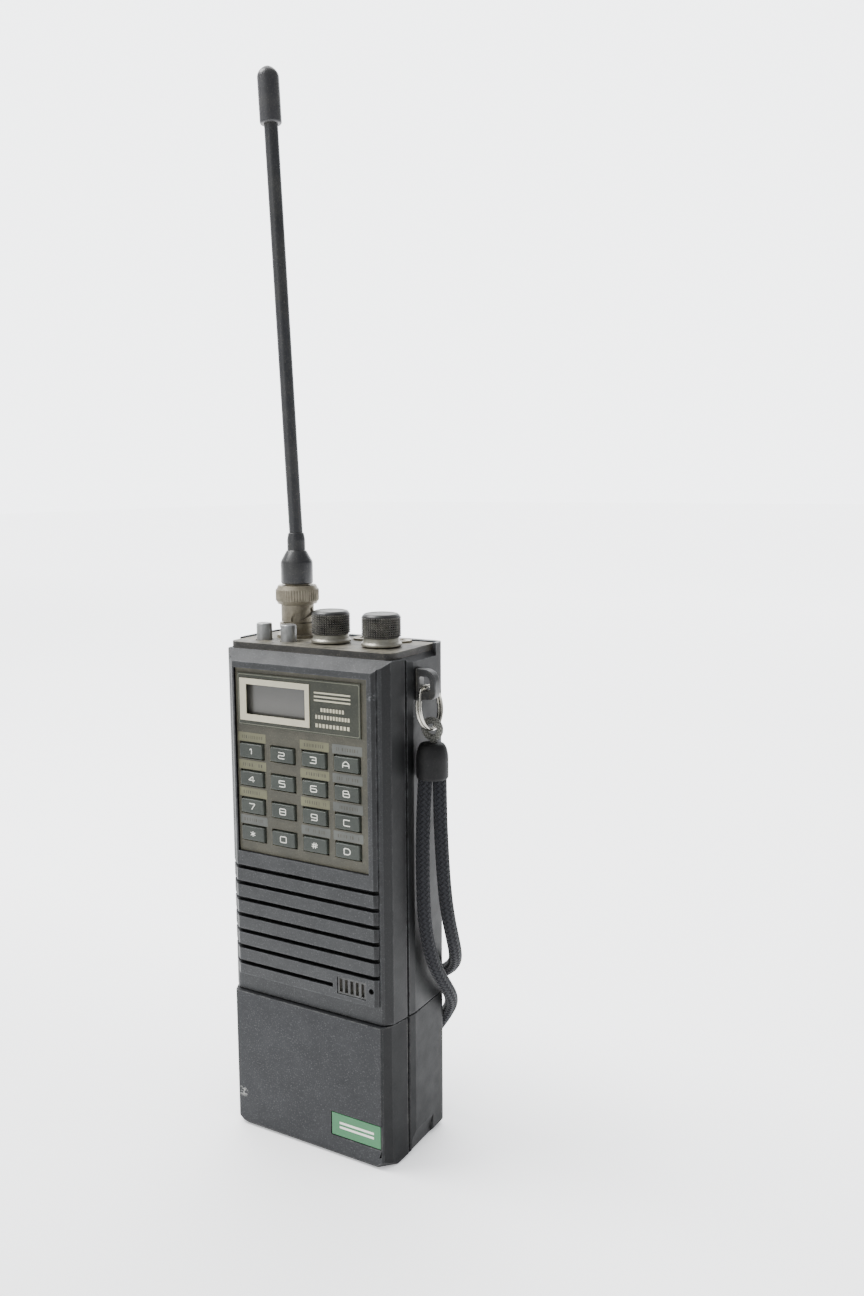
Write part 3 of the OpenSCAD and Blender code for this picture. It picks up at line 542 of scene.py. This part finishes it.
def tube(name, path, radius, sides, mat, body, slot, strands=0, pitch=1.0):
    """A closed tube along a path of millimetre points, its rings turning as little as they can.

    strands is how many braid cells go round it, and pitch is a cell's length in millimetres.
    """
    verts, faces, uvs = [], [], []
    tangents = []
    for i in range(len(path)):
        a, b = path[max(i - 1, 0)], path[min(i + 1, len(path) - 1)]
        tangents.append((b - a).normalized())
    side = tangents[0].orthogonal().normalized()
    run, runs = 0.0, []
    for i, p in enumerate(path):
        if i:
            side = tangents[i - 1].rotation_difference(tangents[i]) @ side
            side = (side - tangents[i] * side.dot(tangents[i])).normalized()
            run += (p - path[i - 1]).length
        runs.append(run)
        other = tangents[i].cross(side)
        for k in range(sides):
            a = 2 * math.pi * k / sides
            verts.append(tuple(p + radius * (math.cos(a) * side + math.sin(a) * other)))
    for i in range(len(path) - 1):
        for k in range(sides):
            j = (k + 1) % sides
            faces.append((i * sides + k, i * sides + j, (i + 1) * sides + j, (i + 1) * sides + k))
            u0, u1 = strands * k / sides, strands * (k + 1) / sides
            v0, v1 = runs[i] / pitch, runs[i + 1] / pitch
            uvs += [(u0, v0), (u1, v0), (u1, v1), (u0, v1)]
    for ring, order in ((0, -1), (len(path) - 1, 1)):
        faces.append(tuple([ring * sides + k for k in range(sides)][::order]))
        uvs += [(0, 0)] * sides
    return make(name, verts, faces, mat, body, slot, 50, uvs if strands else None)


STROKE_LIFT = 0.004


def ribbon_mesh(strokes, width, y):
    """Flat strokes facing -Y, each a little above the last. A stroke is (points (x, z), closed)."""
    verts, faces = [], []
    for n, (points, closed) in enumerate(strokes):
        pts = [Vector(q) for q in points]
        count = len(pts)
        start = len(verts)
        for i, p in enumerate(pts):
            a = pts[(i - 1) % count] if closed or i else p
            b = pts[(i + 1) % count] if closed or i < count - 1 else p
            d0, d1 = (p - a), (b - p)
            d0 = d0.normalized() if d0.length > 1e-9 else d1.normalized()
            d1 = d1.normalized() if d1.length > 1e-9 else d0
            across = Vector((-(d0 + d1).y, (d0 + d1).x)).normalized()
            scale = 1 / max(0.5, across.dot(Vector((-d0.y, d0.x))))
            for s in (-1, 1):
                q = p + across * s * scale * width / 2
                verts.append((q.x, y - n * STROKE_LIFT, q.y))
        for i in range(count if closed else count - 1):
            a, b = start + 2 * i, start + 2 * ((i + 1) % count)
            faces.append((a, b, b + 1, a + 1))
    return verts, faces


def flat_box(x0, x1, z0, z1, y, radius=0.0):
    """One flat face, facing -Y, with rounded corners."""
    if radius <= 0:
        return [(x0, y, z0), (x1, y, z0), (x1, y, z1), (x0, y, z1)]
    out = []
    for cx, cz, a0 in ((x1 - radius, z0 + radius, -90), (x1 - radius, z1 - radius, 0),
                       (x0 + radius, z1 - radius, 90), (x0 + radius, z0 + radius, 180)):
        for k in range(5):
            a = math.radians(a0 + k * 22.5)
            out.append((cx + radius * math.cos(a), y, cz + radius * math.sin(a)))
    return out


def flats(name, outlines, mat, body, slot):
    """Flat faces from a list of outlines, as one piece."""
    verts, faces = [], []
    for outline in outlines:
        faces.append(tuple(range(len(verts), len(verts) + len(outline))))
        verts += outline
    return make(name, verts, faces, mat, body, slot)


# ---------------------------------------------------------------- strap cord
CORD_ROUTE = [
    (36.2, -2.2, 125.4), (35.9, -2.5, 118), (35.7, -2.8, 110), (35.6, -2.9, 102),
    (35.5, -2.8, 94), (35.5, -2.4, 86), (35.5, -1.6, 78.5), (35.7, 0, 71), (36, 2.6, 64),
    (36.3, 6, 58), (36.5, 10, 52.6), (36, 14.2, 47.6), (34.2, 18, 42.8), (31.2, 20.6, 37.8),
    (27.6, 21.6, 32.4), (23.8, 21.8, 26.8), (18.6, 21.8, 22.8), (12.2, 21.8, 22.6),
    (7, 21.8, 26.4), (4.8, 21.8, 32.4), (6.4, 21.8, 38.8), (11.2, 21.8, 43.4),
    (17.4, 21.8, 46.4), (23.6, 21.8, 48.8), (29.2, 21.2, 51.6), (33.6, 19.2, 55.2),
    (36.8, 16, 59.4), (38.8, 12.2, 64.4), (39.7, 8.8, 70.4), (40, 6, 77), (40, 4, 84.5),
    (40, 2.6, 92.5), (40, 1.6, 101), (39.9, 1, 109.5), (39.9, 0.6, 118), (39.9, 0.4, 125.4)]
cord_path = smooth_path(CORD_ROUTE, 10)
CORD_RADIUS = 2.2
cord = tube("strap_cord_braided", cord_path, CORD_RADIUS, 24, braid_mat, "strap", "cord_fabric",
            strands=8, pitch=1.75)
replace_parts(cord, "strap_cord")

boot_profile = fillet([(0.01, 125.4), (4.8, 125.4), (5.0, 126.0), (5.0, 132.5), (4.5, 135.0),
                       (3.6, 136.5), (0.01, 136.5)], 0.9)
boot = lathe("strap_boot_rubber", boot_profile, (38.1, -1.0), boot_mat, "strap", "boot_rubber")
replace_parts(boot, "strap_boot")

RING_RADIUS = 6.7
RING_WIRE = 0.52
RING_TILT = math.radians(8)
EYELET_RADIUS = 2.7
EYELET_CORD = 1.05
EYELET_STEPS = 40
ring_pivot = Vector((35.7, 0, 153.9))
ring_down = Vector((math.sin(RING_TILT), 0, -math.cos(RING_TILT)))
ring_centre = ring_pivot + ring_down * RING_RADIUS
ring_bottom = ring_pivot + ring_down * 2 * RING_RADIUS
loop_path = [ring_bottom + Vector((EYELET_RADIUS * math.cos(a), 0, EYELET_RADIUS * math.sin(a)))
             for a in [math.radians(-84 + 348 * k / EYELET_STEPS) for k in range(EYELET_STEPS + 1)]]
tail = [Vector((ring_bottom.x + 0.55, 0, 135.4)), Vector((ring_bottom.x + 0.5, 0, 136.6))]
eyelet = tube("strap_eyelet_cord", tail + loop_path, EYELET_CORD, 16, eyelet_mat, "strap",
              "eyelet_cord", strands=6, pitch=1.0)
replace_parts(eyelet, "strap_eyelet")

# Split ring: nearly two turns of wire, side by side, that cross over between the ends
RING_STEPS = 192
RING_TURNS = 1.89
FIRST_TURN = 0.055
CROSSING_START = 0.93
CROSSING_LENGTH = 0.14
RING_PHASE = 0.62
ring_front = Vector((0, 1, 0))
ring_across = ring_down.cross(ring_front).normalized()
ring_path = []
for k in range(RING_STEPS + 1):
    turn = FIRST_TURN + RING_TURNS * k / RING_STEPS
    shift = -0.5 + min(1, max(0, (turn - CROSSING_START) / CROSSING_LENGTH))
    a = 2 * math.pi * (turn + RING_PHASE)
    ring_path.append(ring_centre
                     + RING_RADIUS * (math.cos(a) * ring_down + math.sin(a) * ring_front)
                     + ring_across * shift)
split = tube("split_ring_wire", ring_path, RING_WIRE, 12, ring_mat, "ring", "ring_steel")
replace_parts(split, "split_ring")


# ---------------------------------------------------------------- cases and panels
rounded("front_case", case_mat, 0.35)
rounded("rear_case", case_mat, 0.35)
rounded("pack_front_shell", pack_mat, 0.16, merge=False)
rounded("pack_rear_shell", pack_mat, 0.4)
rounded("top_plate", top_mat, 0.3)
rounded("keypad_plate", frame_mat, 0.12)
rounded("display_lens", lens_mat, 0.12)
rounded("display_bezel", bezel_mat, 0.12)
rounded("mic_grille", dark_mat, 0.12)
rounded("strap_lug", dark_mat, 0.35)
rounded("ptt_button", dark_mat, 0.5, 3)
rounded("pack_release", dark_mat, 0.4, 3)
rounded("pack_badge", badge_mat, 0.1)

plain = {"lcd_module": lcd_mat, "keypad_mat": inner_mat, "main_board": board_mat,
         "rf_board": board_mat, "speaker": inner_mat, "microphone": nickel_mat,
         "control_pots": alu_mat, "button_switches": inner_mat, "bnc_jack": nickel_mat,
         "ear_jack": nickel_mat, "mic_jack": nickel_mat, "rail_plate": inner_mat,
         "power_contacts": brass_mat, "case_screws": screw_mat, "antenna_plug": nickel_mat,
         "bnc_collar": nickel_mat, "pack_cells": cell_mat, "pack_contacts": brass_mat}
for node, mat in plain.items():
    mesh = frame["nodes"][node].data
    mesh.materials.clear()
    mesh.materials.append(mat)


# ---------------------------------------------------------------- keys
KEYS = ["key_1", "key_2", "key_3", "key_a", "key_4", "key_5", "key_6", "key_b",
        "key_7", "key_8", "key_9", "key_c", "key_star", "key_0", "key_hash", "key_d"]
BOX = ([(0, 0), (1, 0), (1, 1), (0, 1)], True)
GLYPHS = {
    "1": [([(0.3, 0.72), (0.62, 1), (0.62, 0)], False)],
    "2": [([(0, 1), (1, 1), (1, 0.5), (0, 0.5), (0, 0), (1, 0)], False)],
    "3": [([(0, 1), (1, 1), (1, 0), (0, 0)], False), ([(0.3, 0.52), (1, 0.52)], False)],
    "4": [([(0.78, 0), (0.78, 1), (0, 0.3), (1.05, 0.3)], False)],
    "5": [([(1, 1), (0, 1), (0, 0.55), (1, 0.55), (1, 0), (0, 0)], False)],
    "6": [([(1, 1), (0, 1), (0, 0), (1, 0), (1, 0.55), (0, 0.55)], False)],
    "7": [([(0, 1), (1, 1), (0.4, 0)], False)],
    "8": [BOX, ([(0, 0.52), (1, 0.52)], False)],
    "9": [([(1, 0.45), (0, 0.45), (0, 1), (1, 1), (1, 0), (0, 0)], False)],
    "0": [BOX],
    "a": [([(0, 0), (0, 0.6), (0.35, 1), (0.65, 1), (1, 0.6), (1, 0)], False),
          ([(0, 0.36), (1, 0.36)], False)],
    "b": [([(0, 0), (1, 0), (1, 0.52), (0.86, 0.52), (0.86, 1), (0, 1)], True),
          ([(0, 0.52), (0.95, 0.52)], False)],
    "c": [([(1, 0.98), (0, 0.98), (0, 0), (1, 0)], False)],
    "d": [([(0, 0), (0.7, 0), (1, 0.3), (1, 0.7), (0.7, 1), (0, 1)], True)],
    "star": [([(0.5, 0.95), (0.5, 0.05)], False), ([(0.12, 0.75), (0.88, 0.25)], False),
             ([(0.12, 0.25), (0.88, 0.75)], False)],
    "hash": [([(0.25, 0), (0.4, 1)], False), ([(0.6, 0), (0.75, 1)], False),
             ([(0, 0.33), (0.95, 0.33)], False), ([(0.05, 0.67), (1, 0.67)], False)],
}


def round_stroke(points, closed, radius):
    """Rounds the corners of a stroke."""
    if not closed:
        return fillet(points, radius, 4), False
    start = ((points[0][0] + points[-1][0]) / 2, (points[0][1] + points[-1][1]) / 2)
    loop = fillet([start] + list(points) + [start], radius, 4)
    return loop[:-1], True


LEGEND_WIDTH, LEGEND_HEIGHT, LEGEND_STROKE = 2.3, 1.9, 0.3
for node in KEYS:
    rounded(node, key_mat, 0.42, 3)
    low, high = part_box(node)
    low, high = low / MM, high / MM
    centre_x, centre_z = (low.x + high.x) / 2, (low.z + high.z) / 2
    strokes = []
    for points, closed in GLYPHS[node[4:]]:
        scaled = [(centre_x + (px - 0.5) * LEGEND_WIDTH, centre_z + (pz - 0.5) * LEGEND_HEIGHT)
                  for px, pz in points]
        strokes.append(round_stroke(scaled, closed, 0.4))
    verts, faces = ribbon_mesh(strokes, LEGEND_STROKE, low.y - 0.015)
    make("legend_" + node[4:], verts, faces, legend_mat, node, "key_cap")

# Strips above the keys, none over the second column: grey in the fourth column and the bottom
# row, olive elsewhere, with short ticks in place of their printed words
STRIP_Y, TICK_Y = -16.63, -16.645
olive, grey, ticks = [], [], []
for index, node in enumerate(KEYS):
    column, row = index % 4, index // 4
    if column == 1:
        continue
    low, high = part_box(node)
    low, high = low / MM, high / MM
    x0, x1 = low.x - 0.25, high.x + 0.25
    z0, z1 = high.z - 0.1, high.z + 2.85
    is_grey = column == 3 or row == 3
    (grey if is_grey else olive).append(flat_box(x0, x1, z0, z1, STRIP_Y, 0.25))
    draw = index * 7 + 3
    x = x0 + 1.6
    while x < x1 - 1.6:
        draw = (draw * 37 + 11) % 101
        wide = 0.35 + (draw % 5) * 0.12
        if draw % 6:
            ticks.append(flat_box(x, x + wide * 0.5, z0 + 0.95, z0 + 2.0, TICK_Y))
        x += wide + 0.28
flats("strips_olive", olive, strip_mat, "radio", "keypad_frame")
flats("strips_grey", grey, strip_grey_mat, "radio", "keypad_frame")
flats("strip_ticks", ticks, frame_mat, "radio", "keypad_frame")

PANEL_PRINT_Y = -17.13
BADGE_PRINT_Y = -17.43
panel_edge = [(-24.1, 139.5), (21.9, 139.5), (21.9, 155.6), (-24.1, 155.6)]
make("lens_outline", *ribbon_mesh([round_stroke(panel_edge, True, 0.5)], 0.16, PANEL_PRINT_Y),
     outline_mat, "radio", "panel_olive")


# Plain rules and rows of blocks on the display panel, in place of its printed lines
def row_of_blocks(x0, x1, z0, z1, count):
    """Small plain blocks in an even row, as a stand-in for printed words."""
    step = (x1 - x0) / count
    return [flat_box(x0 + step * i, x0 + step * (i + 0.66), z0, z1, PANEL_PRINT_Y)
            for i in range(count)]


marks = row_of_blocks(7.8, 16.8, 146.2, 147.4, 8)
marks += row_of_blocks(5.8, 18.8, 143.9, 145.1, 12)
marks += row_of_blocks(5.8, 18.8, 141.2, 142.4, 10)
flats("panel_marks", marks, print_mat, "radio", "panel_olive")
rules = [flat_box(5.4, 18.8, z, z + 0.5, PANEL_PRINT_Y) for z in (149.4, 150.6, 151.8)]
flats("panel_rules", rules, print_mat, "radio", "panel_olive")

# Badge on the pack: two plain stripes
stripes = [flat_box(12.4, 25.4, z, z + 0.8, BADGE_PRINT_Y) for z in (9.9, 11.4)]
flats("badge_stripes", stripes, legend_mat, "pack", "badge_green")


# ---------------------------------------------------------------- knobs and buttons
KNOBS = {"volume": (1.2, -1.0), "squelch": (20.0, -0.8)}
BUTTONS = {"light_button": (-22.8, -4.5), "function_button": (-13.0, -4.5)}
for name, at in KNOBS.items():
    knurl(name, at, radius=6.2, z0=168.3, z1=174.7, columns=48, rows=9, depth=0.42,
          sides_mat=knob_mat, tips_mat=knurl_mat, body=name, slot="dark_plastic")
    cap = fillet([(2.2, 168.2), (5.7, 168.2), (5.75, 168.5), (5.75, 174.4), (6.0, 174.6),
                  (5.95, 174.95), (5.3, 175.6), (4.9, 175.6)], 0.15)
    top = lathe(name + "_cap", cap, at, knob_mat, name, "dark_plastic")
    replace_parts(top, name + "_knob")
    lathe(name + "_face", [(5.1, 175.6), (4.9, 175.66), (4.7, 175.5), (0.01, 175.45)], at,
          knob_top_dust_and_reflection_mat, name, "dark_plastic")
    skirt = fillet([(2.1, 165.6), (6.4, 165.6), (6.4, 166.3), (5.75, 166.9), (5.6, 168.2),
                    (2.1, 168.2)], 0.2)
    ring = lathe(name + "_skirt_turned", skirt, at, silver_mat, name, "aluminium")
    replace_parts(ring, name + "_skirt")

for name, at in BUTTONS.items():
    profile = fillet([(0.01, 159.2), (3.45, 159.2), (3.45, 160.6), (2.55, 160.6), (2.55, 170.3),
                      (2.2, 170.7), (1.9, 170.6), (0.01, 170.5)], 0.2)
    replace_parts(lathe(name + "_turned", profile, at, alu_mat, name, "aluminium", 48), name)


# ---------------------------------------------------------------- antenna
BNC = (-17.0, 6.2)
WHIP_BASE = BNC + (199.6,)
WHIP_LEAN = -2.8
SERRATIONS = 48


def serration(a):
    """The collar's shallow grooves, as a change of radius by angle."""
    return 0.3 * abs(math.sin(SERRATIONS / 2 * a)) - 0.1


profile = [(6.85, 177.3), (6.98, 177.5), (6.98, 180.9), (6.85, 181.1)]
lathe("collar_serration", profile, BNC, nickel_mat, "collar", "nickel", 360,
      serration, 60)

profile = fillet([(0.01, 182.9), (5.3, 182.9), (5.3, 190.2), (3.3, 193.8), (3.0, 193.9),
                  (3.0, 197.4), (2.6, 199.6), (2.2, 199.6)], 0.5)
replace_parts(lathe("antenna_boot_turned", profile, BNC, antenna_mat, "antenna", "antenna_rubber"),
            "antenna_boot")
profile = [(2.25, z) for z in range(-2, 131, 4)] + [(2.25, 131.5)]
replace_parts(lathe("antenna_whip_sleeve", profile, WHIP_BASE, antenna_mat, "antenna",
                  "antenna_rubber", 48, tilt=WHIP_LEAN), "antenna_whip")
profile = fillet([(2.2, 129), (3.2, 129), (3.5, 129.4), (3.5, 143.6), (3.0, 144.8), (1.9, 145.9),
                  (0.8, 146.5), (0.01, 146.5)], 0.8)
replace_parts(lathe("antenna_cap_turned", profile, WHIP_BASE, cap_mat, "antenna",
                  "antenna_rubber", 48, tilt=WHIP_LEAN), "antenna_cap")


# ---------------------------------------------------------------- floor and light
def area(name, position, target, size, power):
    """A round lamp that faces a target."""
    data = bpy.data.lights.new(name, "AREA")
    data.shape = "DISK"
    data.size = size
    data.energy = power
    lamp = bpy.data.objects.new(name, data)
    scene.collection.objects.link(lamp)
    lamp.location = position
    lamp.rotation_mode = "QUATERNION"
    lamp.rotation_quaternion = (Vector(target) - Vector(position)).to_track_quat("-Z", "Y")


area("key", (-0.6, -0.24, 1.12), (0, 0, 0.12), 0.6, 21)
area("top", (-0.25, 0.45, 1.15), (0, 0, 0.15), 0.8, 4)
area("front", (-0.3, -1.1, 0.45), (0, 0, 0.1), 0.7, 1.2)

def mapped(tree, value, lo, hi, out_lo, out_hi, interpolation="LINEAR"):
    """A Map Range node in the world's node tree."""
    node = tree.nodes.new("ShaderNodeMapRange")
    node.interpolation_type = interpolation
    tree.links.new(value, node.inputs[0])
    for i, number in enumerate((lo, hi, out_lo, out_hi)):
        node.inputs[i + 1].default_value = number
    return node.outputs[0]


# Soft surround: brightest behind the object, dimmer to its right
BEHIND = (-0.516, 0.833, 0.2)
world = bpy.data.worlds.new("soft_white")
world.use_nodes = True
tree = world.node_tree
way = tree.nodes.new("ShaderNodeTexCoord").outputs["Generated"]
split_way = tree.nodes.new("ShaderNodeSeparateXYZ")
tree.links.new(way, split_way.inputs[0])
toward = tree.nodes.new("ShaderNodeVectorMath")
toward.operation = "DOT_PRODUCT"
tree.links.new(way, toward.inputs[0])
toward.inputs[1].default_value = BEHIND
total = tree.nodes.new("ShaderNodeMath")
tree.links.new(mapped(tree, split_way.outputs["X"], -0.2, 0.6, 1.0, 0.45), total.inputs[0])
tree.links.new(mapped(tree, toward.outputs["Value"], 0.7, 0.88, 0.0, 3.7, "SMOOTHSTEP"),
               total.inputs[1])
background = tree.nodes["Background"]
tree.links.new(total.outputs[0], background.inputs[1])
background.inputs[0].default_value = (0.96, 0.975, 1.0, 1)
scene.world = world


def floor_material():
    """Pale floor with a soft glow, dimmer in front and to the right, and a contact shadow."""
    m = Mat("floor_pale", roughness=0.7, specular=0.1)
    spot = m.add("SeparateXYZ", Vector=m.place)
    near = m.span(spot.outputs["Y"], -0.4, 0.1, 0.05, 1.0)
    left = m.span(spot.outputs["X"], 0.1, 0.9, 1.0, 0.45)
    far = m.span(spot.outputs["Y"], 0.1, 1.6, 2.3, 3.3)
    contact = m.span(m.hollows(0.09), 0.0, 0.9, 1.0, 0.15)
    glow = m.math("MULTIPLY", m.math("MULTIPLY", near, left), far)
    m.put(m.bsdf.inputs["Emission Color"], (0.97, 0.98, 1.0, 1))
    m.put(m.bsdf.inputs["Emission Strength"], m.math("MULTIPLY", glow, contact))
    soft = m.span(m.noise(3, 3), 0.3, 0.7)
    return m.finish(m.mix(soft, rgb(224, 224, 224), rgb(232, 232, 232)))


floor_mesh = bpy.data.meshes.new("floor")
floor_mesh.from_pydata([(-6, -3, 0), (6, -3, 0), (6, 9, 0), (-6, 9, 0)], [], [(0, 1, 2, 3)])
floor_mesh.materials.append(floor_material())
floor = bpy.data.objects.new("floor", floor_mesh)
scene.collection.objects.link(floor)
